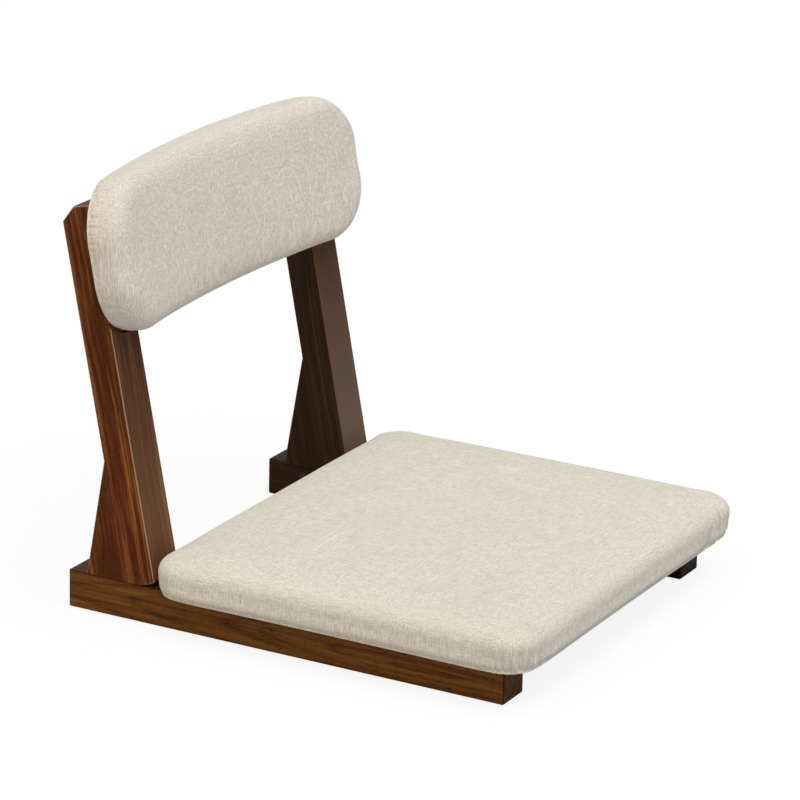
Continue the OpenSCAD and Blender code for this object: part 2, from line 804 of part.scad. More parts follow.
right_rail();
left_rail();
front_stretcher();
rear_stretcher();
stretcher_dowels();
floor_pads();
right_fold_plate();
left_fold_plate();
plate_screws();
pivot_bushes();
seat_board();
seat_foam();
seat_cover();
seat_dust_sheet();
seat_staples();
seat_bolts();
seat_washers();
seat_tee_nuts();
right_post();
left_post();
pivot_pins();
pivot_plugs();
pivot_washers();
back_board();
back_foam();
back_cover();
back_panel();
back_staples();
back_bolts();
back_washers();
back_tee_nuts();
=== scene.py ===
import json
import math
import random

import bmesh
import bpy
import numpy as np
from mathutils import Matrix, Vector
from mathutils.geometry import delaunay_2d_cdt
from mathutils.kdtree import KDTree


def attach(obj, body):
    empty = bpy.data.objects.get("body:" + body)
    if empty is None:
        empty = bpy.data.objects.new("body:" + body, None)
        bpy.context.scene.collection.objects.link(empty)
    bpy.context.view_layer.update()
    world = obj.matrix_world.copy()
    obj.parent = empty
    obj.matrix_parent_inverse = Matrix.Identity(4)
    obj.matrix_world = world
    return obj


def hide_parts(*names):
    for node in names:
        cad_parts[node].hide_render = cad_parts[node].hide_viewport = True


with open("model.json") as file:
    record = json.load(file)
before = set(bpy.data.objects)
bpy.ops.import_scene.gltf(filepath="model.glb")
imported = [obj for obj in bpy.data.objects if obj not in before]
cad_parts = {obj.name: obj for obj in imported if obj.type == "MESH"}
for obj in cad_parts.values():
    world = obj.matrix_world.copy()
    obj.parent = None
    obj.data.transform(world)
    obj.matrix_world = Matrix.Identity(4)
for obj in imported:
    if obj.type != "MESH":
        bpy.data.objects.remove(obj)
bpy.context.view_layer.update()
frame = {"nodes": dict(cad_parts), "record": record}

MM = 0.001

# Frame of the chair, in millimetres
RAIL_FRONT, RAIL_REAR = -209.83, 236.17
RAIL_IN, RAIL_OUT = 160.0, 197.0
RAIL_BOTTOM, RAIL_TOP = 1.5, 37.5
STRETCHER_FRONTS = {"front_stretcher": -147.83, "rear_stretcher": 75.17}
STRETCHER_W, STRETCHER_BOTTOM, STRETCHER_TOP = 34.0, 12.5, 34.5
DOWEL_R, DOWEL_DEPTH, DOWEL_PITCH = 4.02, 15.0, 16.0
SEAT_BOLT_X, SEAT_BOLT_LEAD = 171.0, 12.0
BORE_R, SINK_R, SINK_D, SEAT_BORE_L = 3.3, 8.3, 8.5, 40.0
PLATE_SCREW_YS, PLATE_SCREW_Z, PLATE_SCREW_R, PLATE_SCREW_DEPTH = (173.6, 197.6), 26.5, 2.05, 31.0
PLATE_HEAD_R, PLATE_HEAD_H = 4.0, 2.0
# Pocket for the fold plate's tang in each rail: across, front to rear, and its floor
TANG_X, TANG_Y, TANG_FLOOR = (174.98, 179.02), (165.58, 205.62), 15.48

# Leaning posts, measured up their front faces and back from them
LEAN = math.radians(11.3)
POST_IN, POST_OUT = 155.5, 198.5
POST_D, POST_L = 32.0, 354.0
FOOT_FRONT, FOOT_REAR, FOOT_GAP = 143.17, 216.17, 0.3
NECK_H, TOP_CUT_D, TOP_CUT_H = 111.0, 14.4, 13.2
PIVOT_Y, PIVOT_Z, HEEL_R = 164.6, 83.5, 45.78
PIN_R, PIN_DEPTH = 4.02, 36.0
SLOT_X = (174.3, 179.7)
# The plate's slot, measured from the pivot
SLOT_EYE_R, SLOT_REAR, SLOT_REAR_Z = 8.5, 41.5, 0.5
SLOT_FRONT_Y, SLOT_FRONT_Z, SLOT_BELOW = -12.5, -28.5, -60.0
PAD_BOLT_X, PAD_BOLT_ZS, PAD_BORE_L = 177.0, (276.0, 320.0), 27.0

# Roundovers of the boards, and the height under which a post's foot stays sharp
RAIL_ROUND, POST_ROUND, SOLE_Z = 1.6, 1.5, RAIL_TOP + 1
SHARP_FROM, FLAT_FROM = math.radians(25), math.radians(35)

# How far a cutter reaches past the face that it cuts, and past the post for the pad's hollow
PAST, HOLLOW_PAST = 1.0, 3.0

# Seat cushion
SEAT_MID_Y, SEAT_HALF_W, SEAT_HALF_L = -50.58, 223.0, 190.75
SEAT_H, SEAT_CROWN, SEAT_CORNER_R, SEAT_EDGE_R, SEAT_TURN_R = 38.0, 3.0, 31.0, 15.5, 12.0

# Back pad, bent about an upright axis in front of the chair
PAD_HALF_W, PAD_HALF_H, PAD_T, PAD_CROWN = 221.0, 72.0, 35.7, 3.0
PAD_CORNER_R, PAD_EDGE_R, PAD_TURN_R, PAD_BEND_R = 54.0, 16.0, 9.0, 1150.0
PAD_MID_Z, PAD_SET = 304.0, 18.0
PAD_GAP = 0.3

# Wear: the pad's upper edge is arched and drops to its ends, the seat's rear and far front corners are thin
PAD_ARCH, PAD_DROOP, SEAT_DROOP, SEAT_FAR_DROOP = 3.0, 10.5, 4.0, 2.5

# Upholstery: the hem under a cushion, and how far the cloth draws its sides in
HEM_W, HEM_STEP, SIDE_DRAW = 27.0, 3.2, 1.5
# The bead where the cover turns under: its place up the turn, height and width
BEAD_V, BEAD_H, BEAD_W = -1.0, 1.2, 0.9
# How much of the gathers the staples take out of the bead, and how far up that reaches
HEM_HOLD, HEM_HOLD_W = 0.88, 2.1
# Cloth below this place up the turn is held by the staples and the board
HELD_BELOW = 4.0
# Spacing of the nets of points that close a cushion above and below
NET_PITCH, FLOOR_PITCH = 9.0, 60.0


# Meshes and objects

def post_frame():
    """Frame of the leaning posts: X across, Y back from the front faces, Z up along them."""
    return Matrix.Translation((0, FOOT_FRONT, RAIL_TOP)) @ Matrix.Rotation(-LEAN, 4, "X")


def made_object(name, mesh):
    """Object of that name in the scene."""
    made = bpy.data.objects.new(name, mesh)
    bpy.context.scene.collection.objects.link(made)
    return made


def as_mesh(name, bm):
    """Mesh of a shape worked out in millimetres."""
    bmesh.ops.scale(bm, vec=(MM, MM, MM), verts=bm.verts)
    mesh = bpy.data.meshes.new(name)
    bm.to_mesh(mesh)
    bm.free()
    return mesh


def slab(bm, outline, x0, x1):
    """Adds a solid from x0 to x1 with an outline in Y and Z."""
    near = [bm.verts.new((x0, y, z)) for y, z in outline]
    far = [bm.verts.new((x1, y, z)) for y, z in outline]
    faces = [bm.faces.new(near), bm.faces.new(far[::-1])]
    for i, _ in enumerate(outline):
        j = (i + 1) % len(outline)
        faces.append(bm.faces.new((near[j], near[i], far[i], far[j])))
    bmesh.ops.recalc_face_normals(bm, faces=faces)


def round_over(bm, edges, r):
    """Rounds edges over to a radius."""
    bmesh.ops.bevel(bm, geom=edges, offset=r, segments=4, profile=0.5, affect="EDGES")


def rounded_board(name, outline, x0, x1, r, above=0.0):
    """Board with an outline in Y and Z, its sharp edges above a height rounded over."""
    bm = bmesh.new()
    slab(bm, outline, x0, x1)
    sharp = [e for e in bm.edges if e.calc_face_angle() > SHARP_FROM and max(v.co.z for v in e.verts) > above]
    round_over(bm, sharp, r)
    return made_object(name + "_board", as_mesh(name, bm))


def drill(bm, start, along, steps, sides=48):
    """Adds a stepped round cutter; steps are (distance, radius) from start along a direction."""
    turn = Vector(along).to_track_quat("Z", "Y").to_matrix()
    rings = []
    for distance, radius in steps:
        angles = [2 * math.pi * k / sides for k in range(sides)]
        points = [turn @ Vector((radius * math.cos(a), radius * math.sin(a), distance)) for a in angles]
        rings.append([bm.verts.new(Vector(start) + p) for p in points])
    bm.faces.new(rings[0][::-1])
    bm.faces.new(rings[-1])
    for low, high in zip(rings, rings[1:]):
        for k in range(sides):
            bm.faces.new((low[k], low[(k + 1) % sides], high[(k + 1) % sides], high[k]))


def cut(board, cutter_bm):
    """Takes the cutter's solids out of the board."""
    cutter = made_object("cutter", as_mesh("cutter", cutter_bm))
    bores = board.modifiers.new("bores", "BOOLEAN")
    bores.operation, bores.solver, bores.object = "DIFFERENCE", "EXACT", cutter
    bpy.context.view_layer.update()
    depsgraph = bpy.context.evaluated_depsgraph_get()
    board.data = bpy.data.meshes.new_from_object(board.evaluated_get(depsgraph))
    board.modifiers.clear()
    bpy.data.objects.remove(cutter)


def planed(board):
    """Shades a board's roundovers smooth and keeps its broad faces flat."""
    board.data.shade_smooth()
    board.data.set_sharp_from_angle(angle=FLAT_FROM)
    flat = board.modifiers.new("flat faces", "WEIGHTED_NORMAL")
    flat.keep_sharp, flat.weight = True, 100


# Wooden pieces

def block_outline(front, rear, bottom, top):
    """Side view of a plain square board."""
    return [(front, bottom), (rear, bottom), (rear, top), (front, top)]


def dowel_holes(bores, front, side, inward):
    """Adds the cutters for the two dowels that join a stretcher to the rail on one side."""
    for k in (-1, 1):
        y = front + (STRETCHER_W + k * DOWEL_PITCH) / 2
        start = (side * RAIL_IN, y, (STRETCHER_BOTTOM + STRETCHER_TOP) / 2)
        drill(bores, start, (inward, 0, 0), [(-PAST, DOWEL_R), (DOWEL_DEPTH, DOWEL_R)])


def rail(name, side):
    """Rail with its roundovers, the dowel and screw holes inside and the bolts' sinks below."""
    outline = block_outline(RAIL_FRONT, RAIL_REAR, RAIL_BOTTOM, RAIL_TOP)
    board = rounded_board(name, outline, *sorted((side * RAIL_IN, side * RAIL_OUT)), RAIL_ROUND)
    bores = bmesh.new()
    for front in STRETCHER_FRONTS.values():
        dowel_holes(bores, front, side, side)
        start = (side * SEAT_BOLT_X, front - SEAT_BOLT_LEAD, RAIL_BOTTOM)
        drill(bores, start, (0, 0, 1),
              [(-PAST, SINK_R), (SINK_D, SINK_R), (SINK_D, BORE_R), (SEAT_BORE_L, BORE_R)])
    countersunk = [(-PAST, PLATE_HEAD_R + PAST), (PLATE_HEAD_H, PLATE_SCREW_R),
                   (PLATE_SCREW_DEPTH, PLATE_SCREW_R)]
    for y in PLATE_SCREW_YS:
        drill(bores, (side * RAIL_IN, y, PLATE_SCREW_Z), (side, 0, 0), countersunk)
    pocket = block_outline(*TANG_Y, TANG_FLOOR, RAIL_TOP + PAST)
    slab(bores, pocket, *sorted(side * x for x in TANG_X))
    cut(board, bores)
    planed(board)
    return board


def stretcher(name, front):
    """Plain cross piece between the rails, its long edges rounded over, bored for its dowels."""
    bm = bmesh.new()
    slab(bm, block_outline(front, front + STRETCHER_W, STRETCHER_BOTTOM, STRETCHER_TOP), -RAIL_IN, RAIL_IN)
    long_edges = [e for e in bm.edges if abs(e.verts[0].co.x - e.verts[1].co.x) > RAIL_IN]
    round_over(bm, long_edges, RAIL_ROUND)
    board = made_object(name + "_board", as_mesh(name, bm))
    bores = bmesh.new()
    for side in (-1, 1):
        dowel_holes(bores, front, side, -side)
    cut(board, bores)
    planed(board)
    return board


def up_post(s, d):
    """Place in Y and Z that is s up a post's front face and d behind it."""
    return (FOOT_FRONT + s * math.sin(LEAN) + d * math.cos(LEAN),
            RAIL_TOP + s * math.cos(LEAN) - d * math.sin(LEAN))


def post_outline():
    """Side view of a post: wide foot with a rounded front corner, neck, and a slanted top corner."""
    ahead = (PIVOT_Y - FOOT_FRONT) * math.cos(LEAN) - (PIVOT_Z - RAIL_TOP) * math.sin(LEAN)
    start = math.pi - LEAN + math.acos(ahead / HEEL_R)
    foot_z = RAIL_TOP + FOOT_GAP
    end = 1.5 * math.pi - math.acos((PIVOT_Z - foot_z) / HEEL_R)
    heel_steps = 6
    angles = [start + (end - start) * k / heel_steps for k in range(heel_steps + 1)]
    heel = [(PIVOT_Y + HEEL_R * math.cos(a), PIVOT_Z + HEEL_R * math.sin(a)) for a in angles]
    neck_s = (NECK_H + POST_D * math.sin(LEAN)) / math.cos(LEAN)
    return heel + [(FOOT_REAR, foot_z), up_post(neck_s, POST_D), up_post(POST_L - TOP_CUT_H, POST_D),
                   up_post(POST_L, POST_D - TOP_CUT_D), up_post(POST_L, 0)]


def slot_outline():
    """Side view of the slot that the fold plate swings in, open only under the foot."""
    ahead = FOOT_FRONT - FOOT_REAR
    angles = np.linspace(math.pi / 2, math.pi, 9)
    eye = [(SLOT_EYE_R * math.cos(a), SLOT_EYE_R * math.sin(a)) for a in angles]
    rest = [(SLOT_FRONT_Y, SLOT_FRONT_Z), (ahead, SLOT_FRONT_Z), (ahead, SLOT_BELOW),
            (SLOT_REAR, SLOT_BELOW), (SLOT_REAR, SLOT_REAR_Z)]
    return [(PIVOT_Y + y, PIVOT_Z + z) for y, z in eye + rest]


def hollow(bm, side):
    """Adds the cutter for a post's hollow, which follows the pad's bend and its rounded outline."""
    xs = np.linspace(side * (POST_IN - HOLLOW_PAST), side * (POST_OUT + HOLLOW_PAST), 15)
    r, half_w, half_h = PAD_CORNER_R - 2 * PAD_GAP, PAD_HALF_W + PAD_GAP, PAD_HALF_H + PAD_GAP
    rings = []
    for x in xs:
        y = PAD_SET - PAD_BEND_R + math.sqrt((PAD_BEND_R + PAD_GAP) ** 2 - x ** 2)
        across = max(0.0, abs(x) - (half_w - r))
        reach = half_h - r + math.sqrt(r ** 2 - across ** 2)
        corners = ((-POST_D, -reach), (y, -reach), (y, reach), (-POST_D, reach))
        rings.append([bm.verts.new((x, d, PAD_MID_Z + z)) for d, z in corners])
    bm.faces.new(rings[0])
    bm.faces.new(rings[-1][::-1])
    for near, far in zip(rings, rings[1:]):
        for k in range(4):
            j = (k + 1) % 4
            bm.faces.new((near[k], far[k], far[j], near[j]))


def post(name, side):
    """Leaning post with its roundovers, hollowed for the pad, bored, and slotted for the fold plate."""
    width = sorted((side * POST_IN, side * POST_OUT))
    board = rounded_board(name, post_outline(), *width, POST_ROUND, SOLE_Z)
    bores = bmesh.new()
    hollow(bores, side)
    for z in PAD_BOLT_ZS:
        drill(bores, (side * PAD_BOLT_X, POST_D + PAST, z), (0, -1, 0),
              [(0, SINK_R), (SINK_D + PAST, SINK_R), (SINK_D + PAST, BORE_R), (PAD_BORE_L, BORE_R)])
    bores.transform(post_frame())
    bmesh.ops.recalc_face_normals(bores, faces=bores.faces)
    cut(board, bores)
    slots = bmesh.new()
    slab(slots, slot_outline(), *sorted(side * x for x in SLOT_X))
    cut(board, slots)
    pins = bmesh.new()
    drill(pins, (side * POST_IN, PIVOT_Y, PIVOT_Z), (side, 0, 0), [(-PAST, PIN_R), (PIN_DEPTH, PIN_R)])
    cut(board, pins)
    planed(board)
    return board


# Cushions: rings round the section, closed by flat nets of points

def rounded_outline(hx, hy, r, counts):
    """Points round a rounded rectangle, closest together at its corners, as an N x 2 array."""
    corner_n, long_n, short_n = counts
    signs, crowding = ((1, 1), (-1, 1), (-1, -1), (1, -1)), 0.6
    points = []
    for c, (sx, sy) in enumerate(signs):
        for k in range(corner_n + 1):
            a = math.pi / 2 * (c + k / corner_n)
            points.append((sx * (hx - r) + r * math.cos(a), sy * (hy - r) + r * math.sin(a)))
        nx, ny = signs[(c + 1) % 4]
        a = math.pi / 2 * (c + 1)
        start = points[-1]
        end = (nx * (hx - r) + r * math.cos(a), ny * (hy - r) + r * math.sin(a))
        steps = long_n if c % 2 == 0 else short_n
        for k in range(1, steps):
            u = k / steps
            u -= crowding * math.sin(2 * math.pi * u) / (2 * math.pi)
            points.append((start[0] + (end[0] - start[0]) * u, start[1] + (end[1] - start[1]) * u))
    return np.array(points)


def drawn_in(points, hx, hy, r):
    """Pulls the sides in between the corners, as stretched cloth does; short sides go in less."""
    x, y = points[:, 0], points[:, 1]
    full = 80.0
    dip_x = np.clip(1 - (y / (hy - r)) ** 2, 0, None) * SIDE_DRAW * min(1, (hy - r) / full) / hx
    dip_y = np.clip(1 - (x / (hx - r)) ** 2, 0, None) * SIDE_DRAW * min(1, (hx - r) / full) / hy
    return np.stack([x * (1 - dip_x), y * (1 - dip_y)], 1)


def section(height, edge_r, turn_r):
    """Places up the cushion's section as (inset, height): hem, turn, side and upper edge.

    The turn's rows lie close together round the bead.
    """
    row_gap = 1.8
    hem = [(HEM_W, HEM_STEP), (HEM_W, 0.0), (HEM_W * 0.8, 0.0), (HEM_W * 0.6, 0.0)]
    close = [math.pi / 4 + (BEAD_V + d) / turn_r for d in (-2.2, -1.5, -1.0, -0.5, 0, 0.5, 1.0, 1.5, 2.2)]
    wide = [a for a in np.linspace(0, math.pi / 2, 9) if min(abs(a - c) for c in close) > 1.0 / turn_r]
    turn = [(turn_r * (1 - math.sin(a)), turn_r * (1 - math.cos(a))) for a in sorted([*wide, *close])]
    side_steps = max(3, round((height - edge_r - turn_r) / row_gap))
    side = [(0.0, z) for z in np.linspace(turn_r, height - edge_r, side_steps + 1)[1:-1]]
    edge = [(edge_r * (1 - math.cos(a)), height - edge_r + edge_r * math.sin(a))
            for a in np.linspace(0, math.pi / 2, 15)]
    return hem + turn + side + edge


def crown_height(points, hx, hy, edge_r, crown):
    """How far the middle of the cushion stands over its edge."""
    fullness = 2.6
    u = np.clip(np.abs(points[:, 0]) / (hx - edge_r), 0, 1)
    v = np.clip(np.abs(points[:, 1]) / (hy - edge_r), 0, 1)
    return crown * (1 - u ** fullness) * (1 - v ** fullness)


def net(ring, spacing):
    """Fills a ring with a triangle net; gives its inner points and all faces, ring points first."""
    row_share, clear_share = 0.866, 0.7
    inner = []
    x1, y1 = ring.max(0)
    shrunk = ring * (1 - clear_share * spacing / np.abs(ring).max(0))
    for row, y in enumerate(np.arange(-y1, y1, spacing * row_share)):
        for x in np.arange(-x1 + (row % 2) * spacing / 2, x1, spacing):
            if inside(x, y, shrunk):
                inner.append((x, y))
    points = [Vector(p) for p in [*map(tuple, ring), *inner]]
    count = len(ring)
    edges = [(i, (i + 1) % count) for i in range(count)]
    _, _, faces, _, _, _ = delaunay_2d_cdt(points, edges, [], 1, 1e-6)
    return np.array(inner).reshape(-1, 2), faces


def inside(x, y, ring):
    """Whether a point lies inside a ring."""
    a, b = ring, np.roll(ring, -1, 0)
    crosses = (a[:, 1] > y) != (b[:, 1] > y)
    with np.errstate(divide="ignore", invalid="ignore"):
        at = a[:, 0] + (y - a[:, 1]) * (b[:, 0] - a[:, 0]) / (b[:, 1] - a[:, 1])
    return bool(np.count_nonzero(crosses & (x < at)) % 2)


def joined(faces, ring_n, ring_at, inner_at):
    """Faces of a net, renumbered to where its ring's points and its inner points start."""
    return [tuple(ring_at + i if i < ring_n else inner_at + i - ring_n for i in f) for f in faces]


class Cushion:
    """A cushion's points in its flat frame, with the way round (s) and up (v) of each point.

    v is 0 in the middle of the turn, above it on the sides, and below it on the hem. counts says how many
    points go round a corner, along a long side and along a short one.
    """

    def __init__(self, hx, hy, height, crown, edge_r, turn_r, corner_r, counts):
        outer = rounded_outline(hx, hy, corner_r, counts)
        steps = np.linalg.norm(np.roll(outer, -1, 0) - outer, axis=1)
        round_s = np.concatenate([[0], np.cumsum(steps)[:-1]])
        self.girth = steps.sum()
        corner_n, long_n, short_n = counts
        starts = [0, corner_n + long_n, 2 * corner_n + long_n + short_n, 3 * corner_n + 2 * long_n + short_n]
        self.corners = [round_s[start + corner_n // 2] for start in starts]
        rows, ups, rings = section(height, edge_r, turn_r), [], []
        along = 0.0
        previous = None
        for inset, z in rows:
            r = max(corner_r - inset, corner_r * 0.3)
            flat = drawn_in(rounded_outline(hx - inset, hy - inset, r, counts), hx - inset, hy - inset, r)
            rings.append(np.column_stack([flat, np.full(len(flat), z)]))
            if previous is not None:
                along += math.hypot(inset - previous[0], z - previous[1])
            ups.append(along)
            previous = (inset, z)
        turn_start = next(k for k, (inset, z) in enumerate(rows) if inset == turn_r)
        turn_middle = ups[turn_start] + turn_r * math.pi / 4
        rim = rings[-1][:, :2]
        for share in (0.035, 0.08, 0.14):
            flat = rim * (1 - share)
            rings.append(np.column_stack([flat, np.full(len(flat), height)]))
            ups.append(along + share * min(hx, hy))
        n = len(outer)
        points = np.vstack(rings)
        self.s = np.tile(round_s, len(rings))
        self.v = np.repeat(np.array(ups) - turn_middle, n)
        faces = []
        for k in range(len(rings) - 1):
            for i in range(n):
                j = (i + 1) % n
                faces.append((k * n + i, k * n + j, (k + 1) * n + j, (k + 1) * n + i))
        far = 999.0
        last = (len(rings) - 1) * n
        inner, top_faces = net(rings[-1][:, :2], NET_PITCH)
        faces += joined(top_faces, n, last, len(points))
        points = self.with_inner(points, inner, height, far)
        inner, floor_faces = net(rings[0][:, :2], FLOOR_PITCH)
        faces += [f[::-1] for f in joined(floor_faces, n, 0, len(points))]
        points = self.with_inner(points, inner, HEM_STEP, -far)
        upper = points[:, 2] >= height - 1e-6
        points[upper, 2] += crown_height(points[upper, :2], hx, hy, edge_r, crown)
        self.points, self.faces = points, faces

    def with_inner(self, points, inner, z, v):
        """The points with a net's inner ones added at one height, out of reach of all gathers."""
        self.s = np.concatenate([self.s, np.zeros(len(inner))])
        self.v = np.concatenate([self.v, np.full(len(inner), v)])
        return np.vstack([points, np.column_stack([inner, np.full(len(inner), z)])])


def normals_of(points, faces):
    """Outward direction at every point."""
    mesh = bpy.data.meshes.new("scratch")
    mesh.from_pydata(points.tolist(), [], faces)
    out = np.zeros(len(points) * 3, np.float32)
    mesh.vertices.foreach_get("normal", out)
    bpy.data.meshes.remove(mesh)
    return out.reshape(-1, 3).astype(float)


def tree_of(points):
    """Search tree of the points."""
    tree = KDTree(len(points))
    for i, p in enumerate(points):
        tree.insert(p, i)
    tree.balance()
    return tree


def swollen(points, faces, held, most):
    """How the cloth swells over its filling: a simulated copy, its moves carried over to the points.

    held gives the points that the staples and the board hold, most the furthest that cloth may go.
    """
    start_in, voxel, frames, near_n, blur = 1.0, 5.5 * MM, 20, 10, 5.0
    out = normals_of(points, faces)
    start = points - out * np.where(held, 0, start_in)[:, None]
    mesh = bpy.data.meshes.new("cloth")
    mesh.from_pydata((start * MM).tolist(), [], faces)
    cloth = made_object("cloth", mesh)
    remesh = cloth.modifiers.new("even net", "REMESH")
    remesh.mode, remesh.voxel_size = "VOXEL", voxel
    bpy.context.view_layer.update()
    depsgraph = bpy.context.evaluated_depsgraph_get()
    cloth.data = bpy.data.meshes.new_from_object(cloth.evaluated_get(depsgraph))
    cloth.modifiers.clear()
    rest = np.array([v.co for v in cloth.data.vertices]) / MM
    tree = tree_of(start)
    pinned = cloth.vertex_groups.new(name="held")
    pinned.add([i for i, p in enumerate(rest) if held[tree.find(p)[1]]], 1.0, "REPLACE")
    sim = cloth.modifiers.new("cloth", "CLOTH")
    sim.settings.quality = 6
    sim.settings.mass = 0.3
    sim.settings.tension_stiffness = sim.settings.compression_stiffness = 25
    sim.settings.bending_stiffness = 2
    sim.settings.use_pressure = True
    sim.settings.uniform_pressure_force = 4
    sim.settings.vertex_group_mass = "held"
    sim.settings.effector_weights.gravity = 0
    sim.point_cache.frame_start, sim.point_cache.frame_end = 1, frames
    for step in range(1, frames + 1):
        bpy.context.scene.frame_set(step)
    depsgraph = bpy.context.evaluated_depsgraph_get()
    after = np.array([v.co for v in cloth.evaluated_get(depsgraph).to_mesh().vertices]) / MM
    bpy.context.scene.frame_set(1)
    bpy.data.objects.remove(cloth)
    moved = after - rest
    size = np.linalg.norm(moved, axis=1, keepdims=True)
    moved *= most / (most + size)
    tree = tree_of(rest)
    carried = np.zeros_like(points)
    for i, p in enumerate(start):
        found = tree.find_n(p, near_n)
        weights = np.array([math.exp(-(f[2] / blur) ** 2) for f in found]) + 1e-9
        carried[i] = (moved[[f[1] for f in found]] * weights[:, None]).sum(0) / weights.sum()
    carried += start - points
    shrunk = -(carried * out).sum(1)[~held].mean()
    carried += out * shrunk
    carried[held] = 0
    return carried


def folds_at(draws, middle, half_span, pitch, depth, reach, widths):
    """Gathers of cloth round one place, deepest in its middle.

    Each fold is (place, width, depth, reach, slant), in millimetres but for the slant.
    """
    made = []
    at = middle - half_span
    while at < middle + half_span:
        near = 1 - 0.75 * (abs(at - middle) / half_span) ** 2
        made.append((at, draws.uniform(*widths), depth * near * draws.uniform(0.5, 1.1),
                     reach * near * draws.uniform(0.55, 1.15), draws.uniform(-0.12, 0.12)))
        at += pitch * draws.uniform(0.65, 1.5)
    return made


def scallops(draws, girth, steps, widths, depths, reaches):
    """Small folds all round, between the staples."""
    made = []
    at = 0.0
    while at < girth:
        made.append((at, draws.uniform(*widths), draws.uniform(*depths), draws.uniform(*reaches), 0))
        at += draws.uniform(*steps)
    return made


def way_round(cushion, at):
    """How far round from a place each point lies, by the shorter way."""
    return (cushion.s - at + cushion.girth / 2) % cushion.girth - cushion.girth / 2


def gathered(cushion, folds):
    """How far the folds draw each point in, in millimetres."""
    depth = np.zeros(len(cushion.points))
    for at, width, deep, reach, slant in folds:
        away = way_round(cushion, at + slant * cushion.v)
        grown = width * (1 + 0.8 * np.clip(np.abs(cushion.v) / reach, 0, 1))
        fade = np.clip(1 - np.abs(cushion.v) / reach, 0, 1) ** 1.1
        depth += deep * np.exp(-np.abs(away / grown) ** 1.4) * fade
    return depth * (1 - HEM_HOLD * np.exp(-((cushion.v - BEAD_V) / HEM_HOLD_W) ** 2))


def corner_tuck(cushion, amount, span, reach):
    """How far the cloth's pull rounds the lower corners in."""
    tuck = np.zeros(len(cushion.points))
    for at in cushion.corners:
        tuck += np.clip(1 - (way_round(cushion, at) / span) ** 2, 0, None) ** 1.5
    return amount * tuck * np.clip(1 - np.abs(cushion.v) / reach, 0, 1) ** 1.5


def upholstered(name, cushion, place, folds, tuck, most):
    """Cushion that has swollen, is tucked, gathered and beaded, and is put in its place.

    tuck is the corners' amount, span and reach, most the furthest that the cloth may swell.
    """
    points = cushion.points.copy()
    points += swollen(points, cushion.faces, cushion.v < HELD_BELOW, most)
    out = normals_of(points, cushion.faces)
    sideways = out * np.array([1.0, 1.0, 0.0])
    points -= sideways * corner_tuck(cushion, *tuck)[:, None]
    out = normals_of(points, cushion.faces)
    out[cushion.v < 0, 2] = np.minimum(out[cushion.v < 0, 2], 0)
    points -= out * gathered(cushion, folds)[:, None]
    points += out * (BEAD_H * np.exp(-((cushion.v - BEAD_V) / BEAD_W) ** 2))[:, None]
    mesh = bpy.data.meshes.new(name)
    mesh.from_pydata((place(points) * MM).tolist(), [], cushion.faces)
    mesh.validate()
    mesh.shade_smooth()
    return made_object(name, mesh)


def seat_folds(cushion):
    """Gathers at the four corners, deepest in front, and the small scallops of the stapled edge.

    The far front corner's lie mostly beside it on the front, with two deep creases.
    """
    draws = random.Random(41)
    half_span = 48
    # Pitch, depth, reach and widths of the gathers
    rear, near, far = (6.0, 1.4, 15, (1.0, 1.8)), (6.0, 4.6, 36, (1.0, 1.8)), (7.5, 5.5, 34, (1.0, 1.8))
    folds = []
    for at, shift, law in zip(cushion.corners, (0, 0, 0, -42), (rear, rear, near, far)):
        folds += folds_at(draws, at + shift, half_span, *law)
    far_corner = cushion.corners[3]
    folds += [(far_corner - 39, 1.3, 10.0, 38, 0.15), (far_corner - 61, 1.1, 7.5, 26, 0.2)]
    return folds + scallops(draws, cushion.girth, (11, 27), (2.5, 6), (0.15, 0.5), (7, 13))


def pad_folds(cushion):
    """Short puckers where the cover turns behind the pad, most of them round the ends."""
    draws = random.Random(17)
    half_span, pitch, depth, reach, widths = 78, 5.0, 2.2, 19, (1.1, 1.7)
    folds = []
    for at in cushion.corners:
        folds += folds_at(draws, at, half_span, pitch, depth, reach, widths)
    return folds + scallops(draws, cushion.girth, (10, 24), (2, 5), (0.1, 0.4), (5, 11))


def on_seat(points):
    """From the cushion's flat frame to the chair; all corners but the near front one are thinner."""
    x, y, z = points.T
    u, v = x / SEAT_HALF_W, y / SEAT_HALF_L
    worn = SEAT_DROOP * np.clip(np.abs(u), 0, 1) ** 4 * np.clip(v, 0, 1) ** 4
    worn += SEAT_FAR_DROOP * np.clip(u, 0, 1) ** 4 * np.clip(-v, 0, 1) ** 4
    return np.column_stack([x, y + SEAT_MID_Y, RAIL_TOP + z - worn * z / SEAT_H])


def on_pad(points):
    """From the pad's flat frame, bent round its axis, to the chair; the upper edge is arched."""
    angle = points[:, 0] / PAD_BEND_R
    r = PAD_BEND_R - points[:, 2]
    rise = PAD_ARCH - PAD_DROOP * np.clip(np.abs(points[:, 0]) / PAD_HALF_W, 0, 1) ** 2
    up = PAD_MID_Z + points[:, 1] + rise * np.clip(points[:, 1] / PAD_HALF_H, 0, 1)
    y, z = up_post(up, PAD_SET - PAD_BEND_R + r * np.cos(angle))
    return np.column_stack([r * np.sin(angle), y, z])


# Finishes

def linear(hex_colour):
    """Linear colour of an sRGB hex value."""
    parts = [int(hex_colour[i:i + 2], 16) / 255 for i in (1, 3, 5)]
    return (*[c / 12.92 if c <= 0.04045 else ((c + 0.055) / 1.055) ** 2.4 for c in parts], 1.0)


